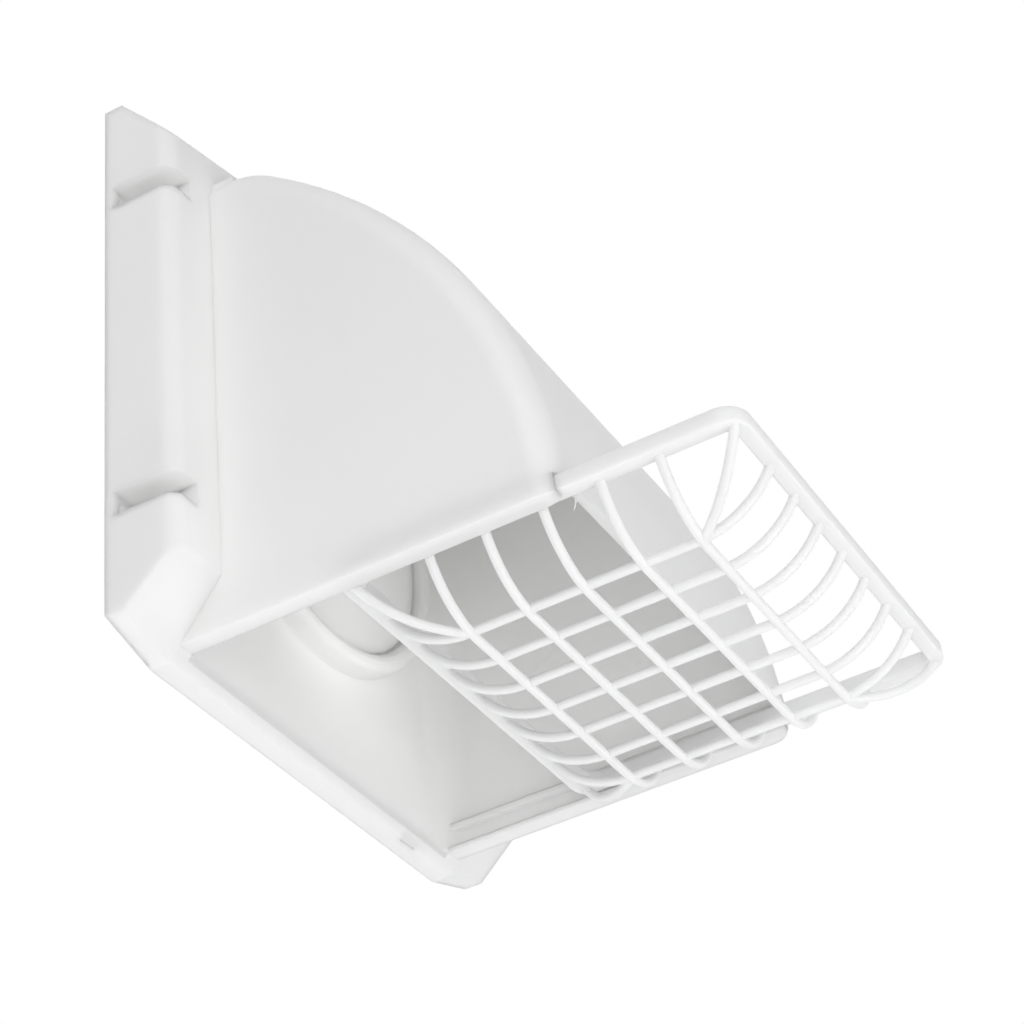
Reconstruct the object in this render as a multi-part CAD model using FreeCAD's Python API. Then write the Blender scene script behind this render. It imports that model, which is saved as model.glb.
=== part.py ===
import FreeCAD, Part
import math
import os

# Dryer vent cap, millimetres. The origin is on the duct axis in the plane of the
# wall, +Y runs into the wall, +X to the right seen from the front and +Z up.
# Heights named "..._above_mouth" start at the underside of the hood's lips.

# Duct connection
duct_bore_r = 51.0
duct_above_mouth = 86.6
spigot_length = 14.0
spigot_wall = 2.5
bead_width = 5.5
bead_depth = 6.6
bead_round = 2.6
bead_facets = 3
flap_opening_step = 2.0
seat_overlap = 1.7
seat_thickness = 2.2

# Base that sits on the wall
base_width = 166.0
base_depth = 20.8
base_wall = 2.5
rim_thickness = 5.5
side_bottom_above_mouth = 1.9
side_top_above_mouth = 167.6
base_bottom_drop = 3.7
base_top_rise = 7.8
base_top_flat = 102.6
bottom_bevel_rise = 13.6
bottom_bevel_rise_at_hood = 18.9
top_bevel_drop = 18.3
base_edge_round = 4.5

# Screw pockets in the sides of the base
pocket_height = 6.9
pocket_reach = 9.0
pocket_wall = 2.0
tab_thickness = 2.5
lower_screw_above_mouth = 33.6
screw_spacing = 101.0
screw_inset = 4.6
screw_hole_r = 2.1

# Hood
hood_width = 129.6
hood_wall = 2.5
hood_top_above_mouth = 145.9
back_wall_offset = 7.3
roof_bow_r = 183.7
roof_bow_reach = 111.2
roof_bow_drop = 5.2
roof_shoulder_r = 23.5
roof_edge_round = 7.2
nose_round = 5.0
rear_corner_round_top = 20.0
rear_corner_round_mouth = 6.0

# Channels for the guard
lip_width = 2.6
lip_thickness = 1.5
channel_rib = 2.0
channel_setback = 5.0
weep_slot_length = 7.4
weep_slot_width = 0.7
weep_slot_x = 43.6
weep_slot_from_wall = 4.9

# Guard
guard_clearance = 0.35
guard_rim_height = 4.6
guard_side_rim = 4.6
guard_front_rim = 4.0
guard_rear_rim = 4.3
guard_depth = 105.85
guard_pulled_out = 41.7
guard_front_corner_r = 7.5
guard_rear_corner_r = 7.0
basket_drop = 13.6
bar_root = 1.5
bar_root_rise = 3.6
bar_width = 2.2
bar_thickness = 2.2
cross_bars = 5
cross_bar_rear_margin = 24.1
cross_bar_front_margin = 21.55
long_bars = 7
long_bar_margin = 17.0
long_bar_recess = 0.6

# Backdraught flap
flap_clearance = 0.8
flap_thickness = 1.8
flap_recess = 3.0
flap_seat_gap = 0.4
hinge_below_opening = 3.4
hinge_front_gap = 0.6
barrel_r = 2.7
barrel_length = 40.0
stub_r = 1.6
stub_running_clearance = 0.05
stub_length = 3.4
ear_thickness = 3.0
ear_gap = 0.5
ear_margin = 2.4

# How far a cutter or a joined block passes the face that it meets
overrun = 1.0

mouth = -duct_above_mouth
hood_half = hood_width / 2
hood_inner_half = hood_half - hood_wall
lip_half = hood_inner_half - lip_width
bead_front = -(back_wall_offset + bead_depth)
guard_bottom = mouth + lip_thickness + guard_clearance
guard_top = guard_bottom + guard_rim_height
channel_top = guard_top + guard_clearance
guard_rear = -(back_wall_offset + guard_clearance + guard_pulled_out)
flap_opening_r = duct_bore_r - flap_opening_step
flap_r = flap_opening_r - flap_clearance
seat_r = flap_r - seat_overlap
flap_front = bead_front + flap_recess
seat_front = flap_front + flap_thickness + flap_seat_gap
seat_back = seat_front + seat_thickness
hinge_y = bead_front - hinge_front_gap - barrel_r
hinge_z = flap_opening_r - hinge_below_opening


def vec(x, y, z):
    return FreeCAD.Vector(x, y, z)


def box(x0, x1, y0, y1, z0, z1):
    """A block between two opposite corners."""
    return Part.makeBox(x1 - x0, y1 - y0, z1 - z0, vec(x0, y0, z0))


def rod(radius, y0, y1):
    """A cylinder on the duct axis between two distances from the wall."""
    return Part.makeCylinder(radius, y1 - y0, vec(0, y0, 0), vec(0, 1, 0))


def polygon(points):
    """A closed wire through the points."""
    return Part.makePolygon(points + points[:1])


def prismoid(first, second, ruled):
    """A solid between two outlines that have as many corners each.

    A side whose four corners don't lie in one plane is ruled from edge to edge, or
    else folded along a diagonal.
    """
    count = len(first)
    faces = [Part.Face(polygon(first)), Part.Face(polygon(second))]
    for i in range(count):
        a, b, c, d = first[i], first[(i + 1) % count], second[(i + 1) % count], second[i]
        if abs((b - a).cross(d - a).dot(c - a)) < 1e-6:
            faces.append(Part.Face(polygon([a, b, c, d])))
        elif ruled:
            faces.append(Part.makeRuledSurface(Part.makeLine(a, b), Part.makeLine(d, c)))
        else:
            left_to_right = (b - a).cross(d - a).dot(c - a) > 0
            faces += [Part.Face(polygon(half)) for half in
                      (([a, b, c], [a, c, d]) if left_to_right else ([a, b, d], [b, c, d]))]
    return Part.Solid(Part.Shell(faces))


def base_outline(y, inset, side_lift, middle_lift, top_drop):
    """Corners of the base at one distance from the wall.

    The upper and lower edges slope on both sides of the hood and are level between.
    """
    side = base_width / 2 - inset
    low_side = mouth + side_bottom_above_mouth + inset + side_lift
    low_middle = mouth - base_bottom_drop + inset + middle_lift
    high_side = mouth + side_top_above_mouth - inset - top_drop
    high_middle = high_side + base_top_rise
    half_top = base_top_flat / 2
    return [
        vec(-side, y, low_side), vec(-hood_half, y, low_middle),
        vec(hood_half, y, low_middle), vec(side, y, low_side),
        vec(side, y, high_side), vec(half_top, y, high_middle),
        vec(-half_top, y, high_middle), vec(-side, y, high_side)]


def base_block(inset):
    """The base as a solid: a straight rim, then bevels above and below it."""
    rim = -rim_thickness
    front = inset - base_depth
    plate = Part.Face(polygon(base_outline(0, inset, 0, 0, 0))).extrude(vec(0, rim, 0))
    reach = (base_depth - inset - rim_thickness) / (base_depth - rim_thickness)
    raised = prismoid(
        base_outline(front, inset, bottom_bevel_rise * reach, bottom_bevel_rise_at_hood * reach,
                     top_bevel_drop * reach),
        base_outline(rim, inset, 0, 0, 0), inset == 0)
    if inset == 0:
        raised = raised.makeFillet(base_edge_round, front_side_edges(raised, front))
    return plate.fuse(raised).removeSplitter()


def front_side_edges(solid, front):
    """The two upright edges at the front of the base."""
    edges = []
    for edge in solid.Edges:
        ends = [v.Point for v in edge.Vertexes]
        upright = abs(ends[0].x - ends[1].x) < 1e-6
        if upright and all(abs(p.y - front) < 1e-6 for p in ends):
            edges.append(edge)
    return edges


def roof_profile(inset, back, bottom):
    """Side view of the hood: level top, shoulder and bowed front as tangent arcs."""
    bow_r = roof_bow_r - inset
    shoulder_r = roof_shoulder_r - inset
    bow_y = roof_bow_r - roof_bow_reach
    bow_z = mouth - roof_bow_drop
    top = mouth + hood_top_above_mouth - inset
    shoulder_z = top - shoulder_r
    centres = bow_r - shoulder_r
    shoulder_y = bow_y - math.sqrt(centres ** 2 - (shoulder_z - bow_z) ** 2)
    turn = math.atan2(shoulder_z - bow_z, bow_y - shoulder_y)
    start = math.asin((bottom - bow_z) / bow_r)

    def on(cy, cz, r, angle):
        return vec(0, cy - r * math.cos(angle), cz + r * math.sin(angle))

    foot = on(bow_y, bow_z, bow_r, start)
    join = on(bow_y, bow_z, bow_r, turn)
    crest = vec(0, shoulder_y, top)
    middle = (turn + math.pi / 2) / 2
    edges = [
        Part.LineSegment(vec(0, back, bottom), foot).toShape(),
        Part.Arc(foot, on(bow_y, bow_z, bow_r, (start + turn) / 2), join).toShape(),
        Part.Arc(join, on(shoulder_y, shoulder_z, shoulder_r, middle), crest).toShape(),
        Part.LineSegment(crest, vec(0, back, top)).toShape(),
        Part.LineSegment(vec(0, back, top), vec(0, back, bottom)).toShape()]
    return Part.Face(Part.Wire(edges))


def hood_prism(inset, back, bottom):
    """The hood's side view swept across its width.

    Its roof edges are rounded outside, and bevelled inside to keep the wall's thickness.
    """
    half = hood_half - inset
    face = roof_profile(inset, back, bottom)
    face.translate(vec(-half, 0, 0))
    solid = face.extrude(vec(2 * half, 0, 0))
    edges = []
    for edge in solid.Edges:
        ends = [v.Point for v in edge.Vertexes]
        on_side = abs(ends[0].x - ends[1].x) < 1e-6
        on_roof = max(p.y for p in ends) - min(p.y for p in ends) > 1e-6
        if on_side and on_roof and max(p.z for p in ends) > bottom + 1e-6:
            edges.append(edge)
    if inset == 0:
        return solid.makeFillet(roof_edge_round, edges)
    return solid.makeChamfer((roof_edge_round - inset) * (2 - math.sqrt(2)), edges)


def nose_cutter():
    """What is taken off to round the hood's lower front corners."""
    bow_y = roof_bow_r - roof_bow_reach
    front = bow_y - math.sqrt(roof_bow_r ** 2 - (roof_bow_drop + nose_round) ** 2)
    corner = box(-hood_width, hood_width, front - nose_round, front + nose_round,
                 mouth - nose_round, mouth + nose_round)
    barrel = Part.makeCylinder(nose_round, 2 * hood_width,
                               vec(-hood_width, front + nose_round, mouth + nose_round), vec(1, 0, 0))
    return corner.cut(barrel)


def hood_cavity():
    """Air space of the hood with its open mouth and the way out for the guard."""
    back = -back_wall_offset
    lip_top = mouth + lip_thickness
    room = hood_prism(hood_wall, back, lip_top)
    ahead = -(roof_bow_reach + nose_round)
    mouth_gap = box(-lip_half, lip_half, ahead, back, mouth - base_width, lip_top)
    way_out = box(-hood_inner_half, hood_inner_half, ahead, 2 * back, lip_top, channel_top)
    return room.fuse([mouth_gap, way_out])


def rear_corner(side):
    """Filling of an upright rear corner, rounded wider towards the roof.

    The round is a cone that touches the back wall and the side wall, with its tip on
    the line where they meet.
    """
    overlap = hood_wall / 2
    back = -back_wall_offset
    low = mouth + lip_thickness - overlap
    high = mouth + hood_top_above_mouth - overlap
    widening = (rear_corner_round_top - rear_corner_round_mouth) / (high - low)
    tip_z = low - rear_corner_round_mouth / widening
    lean = widening / math.sqrt(1 + 2 * widening ** 2)
    rise = math.sqrt(1 - 2 * lean ** 2)

    def outline(z):
        reach = (z - tip_z) * widening
        steps = [(reach, 0), (0, reach), (-overlap, reach), (-overlap, -overlap), (reach, -overlap)]
        return [vec(side * (hood_inner_half - inward), back - forward, z) for inward, forward in steps]

    length = 2 * (high - tip_z)
    cone = Part.makeCone(0, length * lean / math.sqrt(1 - lean ** 2), length,
                         vec(side * hood_inner_half, back, tip_z), vec(-side * lean, -lean, rise))
    return prismoid(outline(low), outline(high), False).cut(cone)


def screw_positions():
    """Screw centres in the plane of the wall."""
    places = []
    for side in (-1, 1):
        for row in (0, 1):
            z = mouth + lower_screw_above_mouth + row * screw_spacing
            places.append((side * (base_width / 2 - screw_inset), z))
    return places


def pocket(x, z, wall, back):
    """A screw pocket open to the side and to the front of the base."""
    side = math.copysign(1, x)
    outer = base_width / 2 + (0 if wall else overrun)
    inner = base_width / 2 - pocket_reach - wall
    x0, x1 = sorted((side * inner, side * outer))
    half = pocket_height / 2 + wall
    front = -base_depth - (0 if wall else overrun)
    return box(x0, x1, front, back, z - half, z + half)


def hood_body():
    """Base, hood, duct collar, guard channels and hinge ears in one moulding."""
    block = base_block(0)
    hood = hood_prism(0, hood_wall - back_wall_offset, mouth).cut(nose_cutter())
    hollow = base_block(base_wall).fuse(
        box(-lip_half, lip_half, -overrun, overrun, -lip_half, lip_half)).cut(hood)
    body = block.fuse(hood).cut(hollow)
    sockets = [pocket(x, z, pocket_wall, 0).common(block) for x, z in screw_positions()]
    body = body.fuse(sockets + [rod(duct_bore_r + spigot_wall, -back_wall_offset, spigot_length)])
    body = body.cut(hood_cavity())

    roof_limit = hood_prism(hood_wall / 2, -overrun, mouth)
    ribs = []
    for side in (-1, 1):
        x0, x1 = sorted((side * (hood_inner_half - channel_rib), side * (hood_half - hood_wall / 2)))
        ribs.append(box(x0, x1, channel_setback - roof_bow_reach, -back_wall_offset + overrun,
                        channel_top, channel_top + channel_rib))
    corners = [rear_corner(side) for side in (-1, 1)]
    body = body.fuse([bead().common(roof_limit)] + corners + ribs + hinge_ears())

    cuts = [rod(duct_bore_r, seat_back, spigot_length + overrun),
            rod(seat_r, seat_front - overrun, seat_back + overrun),
            rod(flap_opening_r, bead_front - overrun, seat_front), hinge_hole()]
    for x, z in screw_positions():
        cuts.append(pocket(x, z, 0, -tab_thickness))
        cuts.append(Part.makeCylinder(screw_hole_r, tab_thickness + 2 * overrun,
                                      vec(x, -tab_thickness - overrun, z), vec(0, 1, 0)))
    cuts.append(box(weep_slot_x - weep_slot_length / 2, weep_slot_x + weep_slot_length / 2,
                    -weep_slot_from_wall - weep_slot_width / 2, -weep_slot_from_wall + weep_slot_width / 2,
                    mouth - base_bottom_drop - overrun, mouth - base_bottom_drop + base_wall + overrun))
    return body.cut(cuts).removeSplitter()


def bead():
    """The collar's rolled front edge: a ring with both crowns turned in short bevels."""
    back = hood_wall - back_wall_offset
    turns = [math.pi / 2 * i / bead_facets for i in range(bead_facets + 1)]
    drops = [(bead_round * (1 - math.cos(a)), bead_round * (1 - math.sin(a))) for a in turns]
    outer = flap_opening_r + bead_width
    section = [vec(flap_opening_r, back, 0)]
    section += [vec(flap_opening_r + across, bead_front + behind, 0) for across, behind in drops]
    section += [vec(outer - across, bead_front + behind, 0) for across, behind in reversed(drops)]
    section.append(vec(outer, back, 0))
    return Part.Face(polygon(section)).revolve(vec(0, 0, 0), vec(0, 1, 0), 360)


def hinge_ears():
    """Two ears on the bead that carry the flap's stubs."""
    ears = []
    reach = barrel_r + ear_margin
    inner = barrel_length / 2 + ear_gap
    top = mouth + hood_top_above_mouth - hood_wall / 2
    for side in (-1, 1):
        x0, x1 = sorted((side * inner, side * (inner + ear_thickness)))
        ears.append(box(x0, x1, hinge_y - reach, -back_wall_offset, hinge_z - reach, top))
    keep_clear = rod(flap_opening_r, bead_front, 0)
    return [ear.cut(keep_clear) for ear in ears]


def hinge_hole():
    """The bore through both ears."""
    reach = barrel_length / 2 + ear_gap + ear_thickness + overrun
    return Part.makeCylinder(stub_r + stub_running_clearance, 2 * reach,
                             vec(-reach, hinge_y, hinge_z), vec(1, 0, 0))


def damper_flap():
    """Round flap with a barrel at the top and a stub at each end of it."""
    disc = rod(flap_r, flap_front, flap_front + flap_thickness)
    half = barrel_length / 2
    barrel = Part.makeCylinder(barrel_r, barrel_length, vec(-half, hinge_y, hinge_z), vec(1, 0, 0))
    stubs = Part.makeCylinder(stub_r, barrel_length + 2 * stub_length,
                              vec(-half - stub_length, hinge_y, hinge_z), vec(1, 0, 0))
    web_half = math.sqrt(flap_r ** 2 - hinge_z ** 2)
    web = box(-web_half, web_half, hinge_y, flap_front + flap_thickness / 2, hinge_z - barrel_r, hinge_z)
    return disc.fuse([barrel, stubs, web]).removeSplitter()


def rim_outline(side, rear, front, rear_r, front_r):
    """Upright prism with a rounded rectangle as its plan."""
    solid = box(-side, side, front, rear, guard_bottom, guard_top)
    for y, radius in ((rear, rear_r), (front, front_r)):
        edges = []
        for edge in solid.Edges:
            ends = [v.Point for v in edge.Vertexes]
            upright = abs(ends[0].z - ends[1].z) > guard_rim_height / 2
            if upright and all(abs(p.y - y) < 1e-6 for p in ends):
                edges.append(edge)
        solid = solid.makeFillet(radius, edges)
    return solid


def bar_path(inset, length, drop, whole):
    """Edges of one side of a bar: round a bend down from the rim, then along the floor."""
    root = guard_bottom + bar_root_rise
    r = drop + bar_root_rise - inset
    floor = root - r
    q = r * (1 - math.sqrt(0.5))
    bend = vec(inset + r, 0, floor)
    path = [Part.Arc(vec(inset, 0, root), vec(inset + q, 0, floor + q), bend).toShape()]
    if not whole:
        return path + [Part.LineSegment(bend, vec(length, 0, floor)).toShape()]
    right = length - inset
    lift = vec(right - r, 0, floor)
    return path + [Part.LineSegment(bend, lift).toShape(),
                   Part.Arc(lift, vec(right - q, 0, floor + q), vec(right, 0, root)).toShape()]


def hanging_bar(start, end, drop, whole=True):
    """A bar that hangs from the rim at its start, and at its end too if it is whole."""
    run = end - start
    length = run.Length
    root = guard_bottom + bar_root_rise
    low = guard_bottom - drop
    edges = bar_path(0, length, drop, whole) + bar_path(bar_thickness, length, drop, whole)
    edges.append(Part.LineSegment(vec(0, 0, root), vec(bar_thickness, 0, root)).toShape())
    if whole:
        edges.append(Part.LineSegment(vec(length, 0, root), vec(length - bar_thickness, 0, root)).toShape())
    else:
        edges.append(Part.LineSegment(vec(length, 0, low), vec(length, 0, low + bar_thickness)).toShape())
    bar = Part.Face(Part.Wire(Part.__sortEdges__(edges))).extrude(vec(0, bar_width, 0))
    bar.translate(vec(0, -bar_width / 2, 0))
    bar.rotate(vec(0, 0, 0), vec(0, 0, 1), math.degrees(math.atan2(run.y, run.x)))
    bar.translate(vec(start.x, start.y, 0))
    return bar


def spread(first, last, count):
    """Evenly spaced places from the first to the last."""
    return [first + (last - first) * i / (count - 1) for i in range(count)]


def guard():
    """Rim and hanging basket of bars in one moulding."""
    side = hood_inner_half - guard_clearance
    rear = guard_rear
    front = rear - guard_depth
    inner_side = side - guard_side_rim
    inner_rear = rear - guard_rear_rim
    inner_front = front + guard_front_rim
    rim = rim_outline(side, rear, front, guard_rear_corner_r, guard_front_corner_r)
    opening = rim_outline(inner_side, inner_rear, inner_front,
                          guard_rear_corner_r - guard_rear_rim / 2, guard_front_corner_r - guard_side_rim)
    rim = rim.cut(opening)
    rows = spread(rear - cross_bar_rear_margin, front + cross_bar_front_margin, cross_bars)
    columns = spread(long_bar_margin - inner_side, inner_side - long_bar_margin, long_bars)
    reach = inner_side + bar_root
    bars = [hanging_bar(vec(-reach, y, 0), vec(reach, y, 0), basket_drop) for y in rows]
    for x in columns:
        bars.append(hanging_bar(vec(x, inner_rear + bar_root, 0), vec(x, inner_front - bar_root, 0),
                                basket_drop - long_bar_recess))
    for x, corner_x in ((columns[0], -inner_side), (columns[-1], inner_side)):
        for y, corner_y in ((rows[0], inner_rear), (rows[-1], inner_front)):
            bars.append(hanging_bar(vec(corner_x, corner_y, 0), vec(x, y, 0),
                                    basket_drop - long_bar_recess, False))
    return rim.fuse(bars).removeSplitter()


os.makedirs("parts", exist_ok=True)
for name, make in (("hood_body", hood_body), ("guard", guard), ("damper_flap", damper_flap)):
    shape = make()
    print(name, "solids:", len(shape.Solids), "valid:", shape.isValid(), "mm3:", round(shape.Volume))
    shape.Solids[0].exportStep("parts/%s.step" % name)
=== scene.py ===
"""Looks of the dryer vent cap: white moulded plastic, soft studio light and the photograph's view."""

import logging
import math
from dataclasses import dataclass, field
from enum import Enum
from typing import Any

import bpy
import numpy as np
from mathutils import Matrix, Vector


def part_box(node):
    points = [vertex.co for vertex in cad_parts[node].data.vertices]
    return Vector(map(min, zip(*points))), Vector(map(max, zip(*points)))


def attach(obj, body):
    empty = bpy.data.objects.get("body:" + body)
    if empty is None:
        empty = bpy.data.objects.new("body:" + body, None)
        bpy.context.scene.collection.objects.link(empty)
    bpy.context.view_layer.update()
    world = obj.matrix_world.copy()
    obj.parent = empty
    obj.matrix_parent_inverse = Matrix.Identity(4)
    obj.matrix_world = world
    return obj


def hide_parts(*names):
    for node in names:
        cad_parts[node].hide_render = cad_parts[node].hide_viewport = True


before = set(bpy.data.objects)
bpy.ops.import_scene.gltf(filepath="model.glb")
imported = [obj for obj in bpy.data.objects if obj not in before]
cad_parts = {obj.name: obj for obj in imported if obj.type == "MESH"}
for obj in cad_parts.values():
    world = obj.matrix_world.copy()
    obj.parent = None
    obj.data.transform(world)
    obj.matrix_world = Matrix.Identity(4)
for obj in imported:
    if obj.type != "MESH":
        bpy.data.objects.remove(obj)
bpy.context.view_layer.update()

LOG = logging.getLogger("vent_cap")
MM = 0.001


class Body(Enum):
    """The bodies that new pieces ride on."""

    GUARD = "guard_basket"


def linear(code: str) -> tuple[float, float, float, float]:
    """Turns an sRGB hex code into linear RGBA.

    A part is divided by 12.92 in the darkest range, and follows the sRGB power curve above it.

    Args:
        code: Six hex digits.

    Returns:
        Linear red, green and blue with an alpha of one.
    """
    parts = [int(code[i : i + 2], 16) / 255 for i in (0, 2, 4)]
    values = [p / 12.92 if p <= 0.04045 else ((p + 0.055) / 1.055) ** 2.4 for p in parts]
    return (values[0], values[1], values[2], 1.0)


def add_node(tree: bpy.types.NodeTree, kind: str, settings: dict[str, Any],
             **inputs: Any) -> bpy.types.Node:
    """Adds a shader node, makes its settings, and sets or links its inputs.

    Args:
        tree: The node tree.
        kind: The node's type name without its common prefix.
        settings: Attributes of the node, by name.
        inputs: Socket values by name, with spaces as underscores. A socket is linked.

    Returns:
        The new node.
    """
    node = tree.nodes.new("ShaderNode" + kind)
    for name, value in settings.items():
        setattr(node, name, value)
    for name, value in inputs.items():
        socket = next(s for s in node.inputs if s.name == name.replace("_", " ") and s.enabled)
        if isinstance(value, bpy.types.NodeSocket):
            tree.links.new(value, socket)
        else:
            socket.default_value = value
    return node


def output(node: bpy.types.Node, name: str) -> bpy.types.NodeSocket:
    """Finds a node's output socket that is in use.

    Args:
        node: The node.
        name: The socket's name.

    Returns:
        The enabled output of that name.
    """
    return next(s for s in node.outputs if s.name == name and s.enabled)


@dataclass(frozen=True)
class MouldedPlastic:
    """White polypropylene as it leaves the mould.

    The eye sees a soft satin sheen, a very faint clouding where the melt flowed, a fine
    spark-eroded grain and a few dark specks in the resin.

    Attributes:
        name: Material name.
        shade: sRGB hex of the plastic.
        cloud_shade: sRGB hex where the melt flowed last.
        speck_shade: sRGB hex of a speck.
        roughness: Microfacet roughness of the satin skin.
        ior: Index of refraction of polypropylene.
        cloud_mm: Size of the clouding.
        grain_mm: Size of the grain, drawn coarser than the real 0.05 mm so that it shows.
        grain_depth_mm: Height of the grain.
        grain_strength: Share of that height that shows.
        speck_spacing_mm: Mean distance between specks.
        speck_mm: Radius of a speck.
        speck_core: Share of that radius where the speck is darkest.
        speck_strength: Share of the speck's shade at its darkest.
        edge_mm: Radius that the mould's edges look rounded to, or none.
        broad_edge_mm: The same on the parts that stand out at the sides.
        broad_from_mm: Distance from the middle plane where those parts begin.
        broad_blend_mm: Half of the distance over which the one radius turns into the other.
        edge_samples: Rays that look for an edge.
        glow: Share of the light that spreads inside the plastic.
        glow_mm: How far that light spreads.
    """

    name: str
    shade: str
    cloud_shade: str
    speck_shade: str = "8E8C86"
    roughness: float = 0.44
    ior: float = 1.49
    cloud_mm: float = 38.0
    grain_mm: float = 0.45
    grain_depth_mm: float = 0.012
    grain_strength: float = 0.5
    speck_spacing_mm: float = 24.0
    speck_mm: float = 0.22
    speck_core: float = 0.4
    speck_strength: float = 0.7
    edge_mm: float = 0.0
    broad_edge_mm: float = 0.0
    broad_from_mm: float = 66.0
    broad_blend_mm: float = 1.0
    edge_samples: int = 2
    glow: float = 1.0
    glow_mm: float = 4.0

    def build(self) -> bpy.types.Material:
        """Builds the material.

        Returns:
            A material whose patterns are sized in real millimetres.
        """
        material = bpy.data.materials.new(self.name)
        material.use_nodes = True
        tree = material.node_tree
        tree.nodes.clear()
        place = output(add_node(tree, "TexCoord", {}), "Object")
        colour = self._specks(tree, place, self._clouds(tree, place))
        shader = add_node(tree, "BsdfPrincipled", {}, Base_Color=colour, Normal=self._grain(tree, place),
                          Roughness=self.roughness, IOR=self.ior, Subsurface_Weight=self.glow,
                          Subsurface_Radius=(1.0, 1.0, 1.0), Subsurface_Scale=self.glow_mm * MM)
        add_node(tree, "OutputMaterial", {}, Surface=output(shader, "BSDF"))
        return material

    def _clouds(self, tree: bpy.types.NodeTree, place: bpy.types.NodeSocket) -> bpy.types.NodeSocket:
        """Mixes the two shades by a slow noise.

        Args:
            tree: The material's node tree.
            place: The place on the piece.

        Returns:
            The colour.
        """
        noise = add_node(tree, "TexNoise", {}, Vector=place, Scale=1 / (self.cloud_mm * MM), Detail=2.0)
        mix = add_node(tree, "Mix", {"data_type": "RGBA"}, Factor=output(noise, "Fac"),
                       A=linear(self.shade), B=linear(self.cloud_shade))
        return output(mix, "Result")

    def _specks(self, tree: bpy.types.NodeTree, place: bpy.types.NodeSocket,
                colour: bpy.types.NodeSocket) -> bpy.types.NodeSocket:
        """Darkens the colour near scattered points.

        Args:
            tree: The material's node tree.
            place: The place on the piece.
            colour: The plastic's colour.

        Returns:
            The colour with specks.
        """
        scale = 1 / (self.speck_spacing_mm * MM)
        cells = add_node(tree, "TexVoronoi", {}, Vector=place, Scale=scale)
        reach = self.speck_mm / self.speck_spacing_mm
        inside = add_node(tree, "MapRange", {"interpolation_type": "SMOOTHSTEP"},
                          Value=output(cells, "Distance"), From_Min=self.speck_core * reach,
                          From_Max=reach, To_Min=self.speck_strength, To_Max=0.0)
        mix = add_node(tree, "Mix", {"data_type": "RGBA"}, Factor=output(inside, "Result"),
                       A=colour, B=linear(self.speck_shade))
        return output(mix, "Result")

    def _grain(self, tree: bpy.types.NodeTree, place: bpy.types.NodeSocket) -> bpy.types.NodeSocket:
        """Raises a fine grain over softened edges.

        Args:
            tree: The material's node tree.
            place: The place on the piece.

        Returns:
            The normal.
        """
        noise = add_node(tree, "TexNoise", {}, Vector=place, Scale=1 / (self.grain_mm * MM), Detail=1.0)
        bump = add_node(tree, "Bump", {}, Strength=self.grain_strength, Distance=self.grain_depth_mm * MM,
                        Height=output(noise, "Fac"))
        if self.edge_mm:
            tree.links.new(self._soft_edges(tree, place), bump.inputs["Normal"])
        return output(bump, "Normal")

    def _soft_edges(self, tree: bpy.types.NodeTree, place: bpy.types.NodeSocket) -> bpy.types.NodeSocket:
        """Rounds the look of the edges, more at the sides.

        Args:
            tree: The material's node tree.
            place: The place on the piece.

        Returns:
            The normal.
        """
        aside = output(add_node(tree, "SeparateXYZ", {}, Vector=place), "X")
        aside = output(add_node(tree, "Math", {"operation": "ABSOLUTE"}, Value=aside), "Value")
        radius = add_node(tree, "MapRange", {}, Value=aside,
                          From_Min=(self.broad_from_mm - self.broad_blend_mm) * MM,
                          From_Max=(self.broad_from_mm + self.broad_blend_mm) * MM,
                          To_Min=self.edge_mm * MM, To_Max=self.broad_edge_mm * MM)
        bevel = add_node(tree, "Bevel", {"samples": self.edge_samples}, Radius=output(radius, "Result"))
        return output(bevel, "Normal")


@dataclass
class Moulding:
    """One CAD piece and the plastic that it is moulded in.

    Attributes:
        node: The CAD node.
        finish: Its plastic.
    """

    node: str
    finish: MouldedPlastic

    def dress(self) -> None:
        """Gives the CAD piece its material."""
        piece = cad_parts[self.node]
        piece.data.materials.clear()
        piece.data.materials.append(self.finish.build())
        LOG.info("dressed %s in %s", self.node, self.finish.name)


@dataclass(frozen=True)
class Grid:
    """Points of a closed shape, with rows along it and columns round it.

    Attributes:
        points: Array of rows, columns and coordinates, in millimetres.
        loop: Whether the last row joins the first. Otherwise both are capped.
    """

    points: np.ndarray
    loop: bool

    def faces(self, start: int) -> list[list[int]]:
        """Lists the faces, outwards for columns that turn left along the rows.

        Args:
            start: Number of the first point.

        Returns:
            Corner numbers of each face.
        """
        rows, columns = self.points.shape[:2]
        index = start + np.arange(rows * columns).reshape(rows, columns)
        ahead = np.roll(index, -1, axis=0) if self.loop else index[1:]
        here = index if self.loop else index[:-1]
        quads = np.stack([here, np.roll(here, -1, axis=1), np.roll(ahead, -1, axis=1), ahead], axis=-1)
        caps = [] if self.loop else [index[0][::-1].tolist(), index[-1].tolist()]
        return quads.reshape(-1, 4).tolist() + caps


def grid_mesh(name: str, grids: list[Grid]) -> bpy.types.Mesh:
    """Makes one mesh from closed grids.

    Args:
        name: Mesh name.
        grids: The shapes, which don't touch each other.

    Returns:
        The mesh, in metres.
    """
    faces, start = [], 0
    for grid in grids:
        faces += grid.faces(start)
        start += grid.points.shape[0] * grid.points.shape[1]
    points = np.concatenate([grid.points.reshape(-1, 3) for grid in grids]) * MM
    mesh = bpy.data.meshes.new(name)
    mesh.from_pydata(points.tolist(), [], faces)
    mesh.update()
    return mesh


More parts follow.
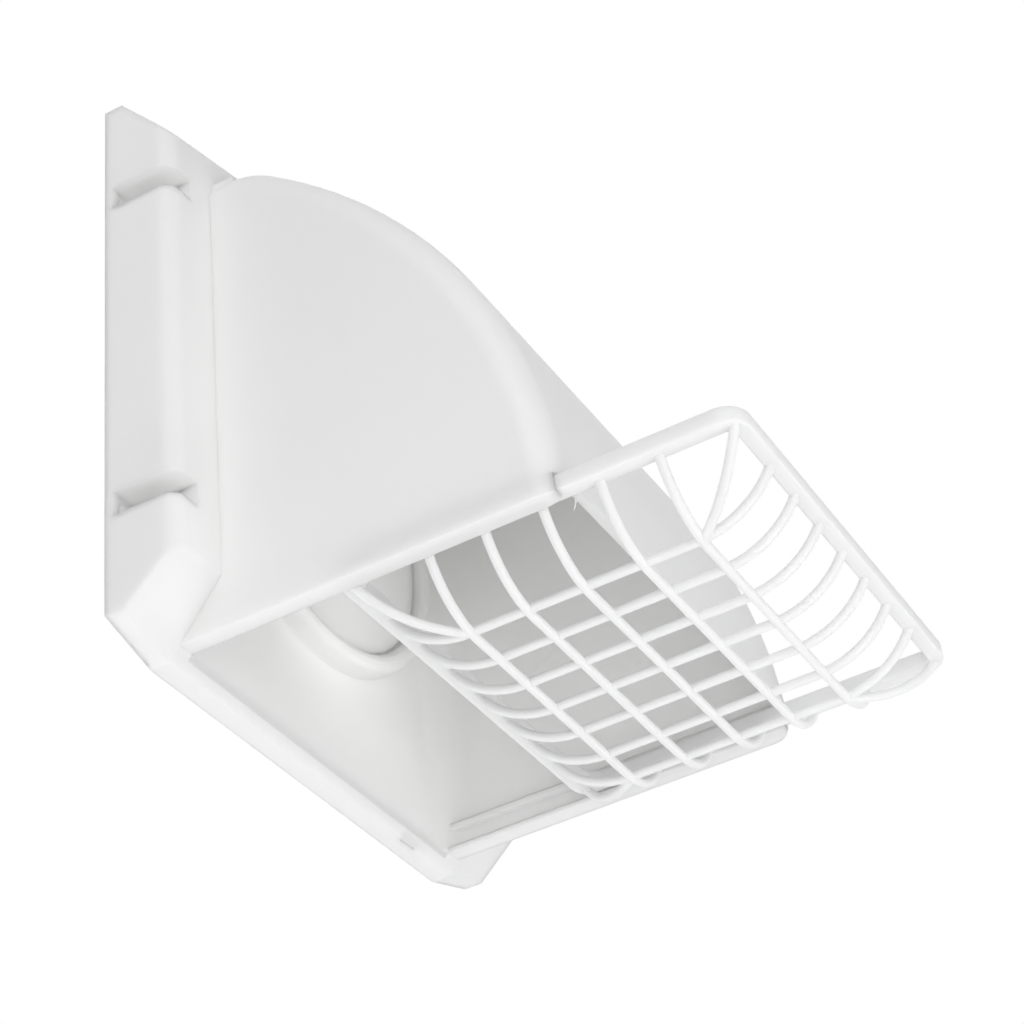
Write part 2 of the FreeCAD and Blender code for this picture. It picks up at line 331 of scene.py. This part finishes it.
def round_tube(path: np.ndarray, across: np.ndarray, radii: np.ndarray, sides: int) -> np.ndarray:
    """Carries a circle along a path that lies in an upright plane.

    A point is path + radius * (cos(v) * up + sin(v) * across), where up is across x tangent.

    Args:
        path: Points along the middle of the tube.
        across: Unit vector at right angles to the path's plane.
        radii: The tube's radius at each point.
        sides: Number of points round the circle.

    Returns:
        Grid of points.
    """
    tangent = np.gradient(path, axis=0)
    tangent /= np.linalg.norm(tangent, axis=1, keepdims=True)
    up = np.cross(across, tangent)
    v = np.linspace(0, 2 * np.pi, sides, endpoint=False)
    ring = np.cos(v)[None, :, None] * up[:, None] + np.sin(v)[None, :, None] * across
    return path[:, None] + radii[:, None, None] * ring


def rounded_rectangle(side: float, rear: float, front: float, rear_r: float, front_r: float,
                      steps: int) -> np.ndarray:
    """Plan of a rectangle with rounded corners, counter-clockwise from its rear right corner.

    Each corner is a quarter circle of the given radius, and straight runs join them.

    Args:
        side: Half of the width.
        rear: Y of the rear edge.
        front: Y of the front edge.
        rear_r: Corner radius at the rear.
        front_r: Corner radius at the front.
        steps: Points on each corner.

    Returns:
        Array of X and Y.
    """
    corners = [(side - rear_r, rear - rear_r, rear_r, 0), (rear_r - side, rear - rear_r, rear_r, 1),
               (front_r - side, front + front_r, front_r, 2), (side - front_r, front + front_r, front_r, 3)]
    arcs = []
    for x, y, radius, quarter in corners:
        turn = np.pi / 2 * (quarter + np.linspace(0, 1, steps))
        arcs.append(np.stack([x + radius * np.cos(turn), y + radius * np.sin(turn)], axis=-1))
    return np.concatenate(arcs)


@dataclass
class GuardBasket:
    """The basket guard: a flat rim and round bars that hang from it, moulded in one.

    Sizes in millimetres repeat the guard's own, and its place comes from the CAD node.

    Attributes:
        finish: The guard's plastic.
        rim_height: Height of the rim.
        side_rim: Width of the rim at the sides.
        front_rim: Width of the rim at the front.
        rear_rim: Width of the rim at the rear.
        front_corner_r: Outer corner radius at the front.
        rear_corner_r: Outer corner radius at the rear.
        rim_edge_r: Rounding of the rim's edges.
        bar_r: Radius of a bar.
        bar_root: How far the middle of a bar's root lies inside the rim.
        bar_root_rise: Height of a bar's root over the rim's underside.
        bend_run: How far a bar's end runs before it is level.
        cross_bars: Number of bars from side to side.
        cross_rear_margin: First cross bar, from the rim's rear.
        cross_front_margin: Last cross bar, from the rim's front.
        long_bars: Number of bars from rear to front.
        long_margin: Outer long bars, from the rim's inner sides.
        long_recess: How much higher the long bars lie.
        sides: Points round a bar.
        bend_steps: Points along a bend.
        corner_steps: Points on each corner of the rim's plan.
        edge_steps: Points on each rounded edge of the rim.
        crease_deg: Angle between faces from which an edge is drawn sharp.
    """

    finish: MouldedPlastic
    rim_height: float = 4.6
    side_rim: float = 4.6
    front_rim: float = 4.0
    rear_rim: float = 4.3
    front_corner_r: float = 6.5
    rear_corner_r: float = 7.0
    rim_edge_r: float = 0.7
    bar_r: float = 1.2
    bar_root: float = 1.5
    bar_root_rise: float = 1.0
    bend_run: float = 21.0
    cross_bars: int = 5
    cross_rear_margin: float = 24.1
    cross_front_margin: float = 21.55
    long_bars: int = 7
    long_margin: float = 17.0
    long_recess: float = 0.6
    sides: int = 20
    bend_steps: int = 22
    corner_steps: int = 14
    edge_steps: int = 6
    crease_deg: float = 38.0

    def __post_init__(self) -> None:
        """Takes the guard's place from its CAD node."""
        low, high = (np.array(corner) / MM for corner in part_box("guard"))
        self.side, self.front, self.rear = high[0], low[1], high[1]
        self.top, self.floor = high[2], low[2] + self.bar_r
        self.bottom = self.top - self.rim_height
        self.inner_side = self.side - self.side_rim
        self.inner_rear = self.rear - self.rear_rim
        self.inner_front = self.front + self.front_rim
        self.rows = np.linspace(self.rear - self.cross_rear_margin, self.front + self.cross_front_margin,
                                self.cross_bars)
        self.columns = np.linspace(self.long_margin - self.inner_side, self.inner_side - self.long_margin,
                                   self.long_bars)

    def build(self) -> bpy.types.Object:
        """Joins the rim and the bars into one piece.

        Returns:
            The guard's object, dressed and riding on its body.
        """
        rim = self._object("rim", [self._rim()])
        groups = [self._object("cross_bars", self._cross_bars()),
                  self._object("long_bars", self._long_bars()),
                  self._object("corner_bars", self._corner_bars())]
        for group in groups:
            join = rim.modifiers.new(group.name, "BOOLEAN")
            join.operation = "UNION"
            join.solver = "EXACT"
            join.object = group
        graph = bpy.context.evaluated_depsgraph_get()
        mesh = bpy.data.meshes.new_from_object(rim.evaluated_get(graph))
        for scrap in [rim] + groups:
            bpy.data.objects.remove(scrap)
        return self._dress(mesh)

    def _dress(self, mesh: bpy.types.Mesh) -> bpy.types.Object:
        """Makes the joined mesh a finished piece.

        Args:
            mesh: The rim and the bars in one.

        Returns:
            The guard's object.
        """
        mesh.name = "guard_basket_moulding"
        mesh.materials.clear()
        mesh.materials.append(self.finish.build())
        mesh.shade_smooth()
        mesh.set_sharp_from_angle(angle=math.radians(self.crease_deg))
        piece = bpy.data.objects.new(mesh.name, mesh)
        bpy.context.scene.collection.objects.link(piece)
        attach(piece, Body.GUARD.value)
        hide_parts("guard")
        LOG.info("built %s with %d faces", piece.name, len(mesh.polygons))
        return piece

    def _object(self, name: str, grids: list[Grid]) -> bpy.types.Object:
        """Makes one object from closed grids.

        Args:
            name: Object name.
            grids: The shapes.

        Returns:
            The object, in the scene.
        """
        piece = bpy.data.objects.new(name, grid_mesh(name, grids))
        bpy.context.scene.collection.objects.link(piece)
        return piece

    def _rim(self) -> Grid:
        """Carries a rounded section round the rim.

        A point lies at share s between the outer and the inner plan, at height z. The
        section is a rectangle whose corners are quarter circles of the edge radius.

        Returns:
            The rim's grid, with rows round the plan and columns round the section.
        """
        outer = rounded_rectangle(self.side, self.rear, self.front, self.rear_corner_r,
                                  self.front_corner_r, self.corner_steps)
        inner = rounded_rectangle(self.inner_side, self.inner_rear, self.inner_front,
                                  self.rear_corner_r - self.rear_rim / 2,
                                  self.front_corner_r - self.side_rim, self.corner_steps)
        width = np.linalg.norm(inner - outer, axis=1)
        turn = np.linspace(0, np.pi / 2, self.edge_steps)
        swing = self.rim_edge_r * np.stack([1 - np.cos(turn), 1 - np.sin(turn)], axis=-1)
        near, far = swing[:, 0], swing[::-1, 0]
        low, high = self.bottom + swing[:, 1], self.top - swing[:, 1]
        depth = np.concatenate([near, far, near, far])
        from_inner = np.repeat([0, 1, 1, 0], len(turn))
        height = np.concatenate([high, high[::-1], low, low[::-1]])
        share = np.where(from_inner, 1 - depth / width[:, None], depth / width[:, None])
        plan = outer[:, None] + share[..., None] * (inner - outer)[:, None]
        level = np.broadcast_to(height, share.shape)
        return Grid(np.concatenate([plan, level[..., None]], axis=-1)[:, ::-1], True)

    def _bend(self, run: float, floor: float) -> np.ndarray:
        """Side view of a bar's end, as distances along the bar and heights.

        It is one arc that starts at the root and is level after the run, so its radius is
        (run squared + height squared) / (2 * height).

        Args:
            run: Distance along the bar.
            floor: Height of the level part.

        Returns:
            Array of distances and heights.
        """
        height = self.bottom + self.bar_root_rise - floor
        radius = (run**2 + height**2) / (2 * height)
        turn = np.linspace(math.acos(1 - height / radius), 0, self.bend_steps)
        return np.stack([run - radius * np.sin(turn), floor + radius * (1 - np.cos(turn))], axis=-1)

    def _bar(self, start: np.ndarray, end: np.ndarray, recess: float) -> Grid:
        """Hangs a round bar between two places in plan: a bend, a straight floor and a bend.

        Args:
            start: Root in plan.
            end: Other root in plan.
            recess: How much higher the bar lies than the lowest bars.

        Returns:
            The bar's grid.
        """
        half = self._bend(self.bend_run, self.floor + recess)
        length = float(np.linalg.norm(end - start))
        return self._tube(start, end, np.concatenate([half, [length, 0] + half[::-1] * [-1, 1]]))

    def _corner_bar(self, start: np.ndarray, end: np.ndarray) -> Grid:
        """Hangs a round bar from a corner of the rim to a crossing, as one bend."""
        run = float(np.linalg.norm(end - start))
        return self._tube(start, end, self._bend(run, self.floor + self.long_recess / 2))

    def _tube(self, start: np.ndarray, end: np.ndarray, middle: np.ndarray) -> Grid:
        """Sets a bar's middle line upright between two places in plan.

        Args:
            start: Root in plan.
            end: Other end in plan.
            middle: Distances along the bar and heights.

        Returns:
            The bar's grid.
        """
        along = (end - start) / np.linalg.norm(end - start)
        path = np.column_stack([start + middle[:, :1] * along, middle[:, 1]])
        across = np.array([-along[1], along[0], 0.0])
        return Grid(round_tube(path, across, np.full(len(path), self.bar_r), self.sides), False)

    def _cross_bars(self) -> list[Grid]:
        """Bars from side to side."""
        reach = self.inner_side + self.bar_root
        return [self._bar(np.array([-reach, y]), np.array([reach, y]), 0.0) for y in self.rows]

    def _long_bars(self) -> list[Grid]:
        """Bars from the rear to the front."""
        rear, front = self.inner_rear + self.bar_root, self.inner_front - self.bar_root
        return [self._bar(np.array([x, rear]), np.array([x, front]), self.long_recess)
                for x in self.columns]

    def _corner_bars(self) -> list[Grid]:
        """Hangs the bars from the rim's inner corners to the outer crossings.

        Returns:
            The four bars' grids.
        """
        reach = self.inner_side + self.bar_root
        rear, front = self.inner_rear + self.bar_root, self.inner_front - self.bar_root
        bars = []
        for x, corner_x in ((self.columns[0], -reach), (self.columns[-1], reach)):
            for y, corner_y in ((self.rows[0], rear), (self.rows[-1], front)):
                bars.append(self._corner_bar(np.array([corner_x, corner_y]), np.array([x, y])))
        return bars


@dataclass
class MouldFlash:
    """A thin sliver of plastic left by the mould on the rim's inner edge.

    Attributes:
        finish: The guard's plastic.
        root_mm: Where it hangs from.
        drop_mm: How far it hangs.
        curl_mm: How far its tip curls sideways.
        root_r_mm: Half of its thickness at the root.
        tip_r_mm: Half of its thickness at the tip.
        steps: Points along it.
        sides: Points round it.
    """

    finish: MouldedPlastic
    root_mm: tuple[float, float, float] = (-57.2, -111.6, -84.4)
    drop_mm: float = 4.0
    curl_mm: float = 0.9
    root_r_mm: float = 0.35
    tip_r_mm: float = 0.08
    steps: int = 14
    sides: int = 10

    def build(self) -> bpy.types.Object:
        """Builds the sliver: a tapering tube along a parabola that hangs from the rim.

        Returns:
            The sliver's object.
        """
        t = np.linspace(0, 1, self.steps)
        path = np.array(self.root_mm) + np.stack([0 * t, self.curl_mm * t**2, -self.drop_mm * t], axis=-1)
        radii = self.root_r_mm + (self.tip_r_mm - self.root_r_mm) * t
        points = round_tube(path, np.array([1.0, 0.0, 0.0]), radii, self.sides)
        mesh = grid_mesh("mould_flash", [Grid(points, False)])
        mesh.materials.append(self.finish.build())
        mesh.shade_smooth()
        piece = bpy.data.objects.new("mould_flash", mesh)
        bpy.context.scene.collection.objects.link(piece)
        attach(piece, Body.GUARD.value)
        LOG.info("built %s", piece.name)
        return piece


@dataclass(frozen=True)
class Softbox:
    """A square soft light.

    Attributes:
        name: Light name.
        place_m: Its middle.
        size_m: Its side.
        power_w: Its power.
        aim_m: The point that it faces.
        spread_deg: Angle that its light fans out to.
    """

    name: str
    place_m: tuple[float, float, float]
    size_m: float
    power_w: float
    aim_m: tuple[float, float, float] = (0.0, -0.06, -0.02)
    spread_deg: float = 180.0

    def build(self) -> None:
        """Hangs the light, turned to its aim."""
        data = bpy.data.lights.new(self.name, "AREA")
        data.shape = "SQUARE"
        data.size = self.size_m
        data.energy = self.power_w
        data.spread = math.radians(self.spread_deg)
        light = bpy.data.objects.new(self.name, data)
        bpy.context.scene.collection.objects.link(light)
        light.location = self.place_m
        facing = Vector(self.aim_m) - Vector(self.place_m)
        light.rotation_euler = facing.to_track_quat("-Z", "Y").to_euler()
        light.visible_camera = False


@dataclass
class Studio:
    """Floor, background, soft lights and the camera.

    Attributes:
        floor_m: Height of the floor, below the camera.
        floor_half_m: Half of the floor's side.
        floor_shade: sRGB hex of the floor's paper.
        floor_roughness: Roughness of that paper.
        fill: Strength of the light from all round.
        fill_shade: sRGB hex of that light.
        softboxes: The soft lights.
        eye_m: Camera position.
        heading_deg: Angle of the view from +Y towards +X.
        rise_deg: How far the camera looks up.
        roll_deg: Roll of the picture.
        lens_mm: Focal length.
        sensor_mm: Width of the sensor.
        clip_start_m: Distance from which the camera sees.
    """

    floor_m: float = -0.75
    floor_half_m: float = 6.0
    floor_shade: str = "F4F4F4"
    floor_roughness: float = 0.9
    fill: float = 0.375
    fill_shade: str = "FAFAFC"
    softboxes: list[Softbox] = field(default_factory=lambda: [
        Softbox("beside_camera", (-0.75, -0.50, -0.65), 0.9, 3.9),
        Softbox("under_mouth", (0.0, -0.45, -0.72), 0.9, 4.7),
        Softbox("under_rear", (0.0, 0.60, -0.60), 0.9, 4.3),
        Softbox("right_low", (0.85, -0.30, -0.50), 0.9, 1.2),
        Softbox("front_left", (-0.80, -0.85, 0.0), 0.9, 1.1),
        Softbox("left_high", (-0.85, -0.30, 0.65), 0.9, 2.9),
        Softbox("inside_to_collar", (0.0, -0.06, -0.055), 0.024, 0.0026, (0.01, -0.012, -0.035), 100.0),
        Softbox("inside_to_far_wall", (-0.03, -0.072, -0.06), 0.016, 0.0022, (0.0595, -0.045, 0.0), 90.0),
    ])
    eye_m: tuple[float, float, float] = (-0.49223, -0.30488, -0.44297)
    heading_deg: float = 64.280
    rise_deg: float = 36.799
    roll_deg: float = -6.527
    lens_mm: float = 92.96
    sensor_mm: float = 36.0
    clip_start_m: float = 0.01

    def build(self) -> None:
        """Builds the whole studio."""
        self._floor()
        self._world()
        for softbox in self.softboxes:
            softbox.build()
        self._camera()
        bpy.context.scene.view_settings.view_transform = "Standard"
        LOG.info("built the studio with %d softboxes", len(self.softboxes))

    def _floor(self) -> None:
        """Lays a pale floor below the camera."""
        half = self.floor_half_m
        corners = [(-half, -half, self.floor_m), (half, -half, self.floor_m),
                   (half, half, self.floor_m), (-half, half, self.floor_m)]
        mesh = bpy.data.meshes.new("floor")
        mesh.from_pydata(corners, [], [(0, 1, 2, 3)])
        floor = bpy.data.objects.new("floor", mesh)
        bpy.context.scene.collection.objects.link(floor)
        paper = bpy.data.materials.new("studio_paper_matt")
        paper.use_nodes = True
        shader = paper.node_tree.nodes["Principled BSDF"]
        shader.inputs["Base Color"].default_value = linear(self.floor_shade)
        shader.inputs["Roughness"].default_value = self.floor_roughness
        mesh.materials.append(paper)

    def _world(self) -> None:
        """Shows white to the camera and in reflections, and lights with a softer level."""
        world = bpy.data.worlds.new("studio_white")
        bpy.context.scene.world = world
        world.use_nodes = True
        tree = world.node_tree
        tree.nodes.clear()
        path = add_node(tree, "LightPath", {})
        seen = output(path, "Is Camera Ray")
        for ray in ("Is Glossy Ray", "Is Transmission Ray"):
            either = tree.nodes.new("ShaderNodeMath")
            either.operation = "MAXIMUM"
            tree.links.new(seen, either.inputs[0])
            tree.links.new(output(path, ray), either.inputs[1])
            seen = either.outputs[0]
        fill = add_node(tree, "Background", {}, Color=linear(self.fill_shade), Strength=self.fill)
        white = add_node(tree, "Background", {}, Color=(1, 1, 1, 1), Strength=1.0)
        mix = tree.nodes.new("ShaderNodeMixShader")
        tree.links.new(seen, mix.inputs[0])
        tree.links.new(output(fill, "Background"), mix.inputs[1])
        tree.links.new(output(white, "Background"), mix.inputs[2])
        add_node(tree, "OutputWorld", {}, Surface=output(mix, "Shader"))

    def _camera(self) -> None:
        """Sets the camera to the photograph's view."""
        heading, rise, roll = (math.radians(a) for a in (self.heading_deg, self.rise_deg, self.roll_deg))
        level = math.cos(rise)
        forward = Vector((math.sin(heading) * level, math.cos(heading) * level, math.sin(rise)))
        right = Vector((math.cos(heading), -math.sin(heading), 0.0))
        up = right.cross(forward)
        across = right * math.cos(roll) + up * math.sin(roll)
        upward = up * math.cos(roll) - right * math.sin(roll)
        data = bpy.data.cameras.new("camera")
        data.sensor_width = self.sensor_mm
        data.lens = self.lens_mm
        data.clip_start = self.clip_start_m
        camera = bpy.data.objects.new("camera", data)
        bpy.context.scene.collection.objects.link(camera)
        basis = Matrix((across, upward, -forward)).transposed().to_4x4()
        camera.matrix_world = Matrix.Translation(Vector(self.eye_m)) @ basis
        bpy.context.scene.camera = camera


def main() -> None:
    """Dresses the CAD pieces, builds the guard's round bars and the studio."""
    logging.basicConfig(level=logging.INFO)
    hood = MouldedPlastic("white_polypropylene_hood_moulded", "F5F5F4", "F2F2F1", edge_mm=0.5,
                          broad_edge_mm=3.0)
    guard = MouldedPlastic("white_polypropylene_guard_moulded", "EFEFEF", "ECECEC", speck_spacing_mm=60.0,
                           glow_mm=3.0)
    flap = MouldedPlastic("white_polypropylene_flap_moulded", "F5F5F4", "F2F2F1")
    Moulding("hood_body", hood).dress()
    Moulding("damper_flap", flap).dress()
    GuardBasket(guard).build()
    MouldFlash(guard).build()
    Studio().build()


if __name__ == "__main__":
    main()
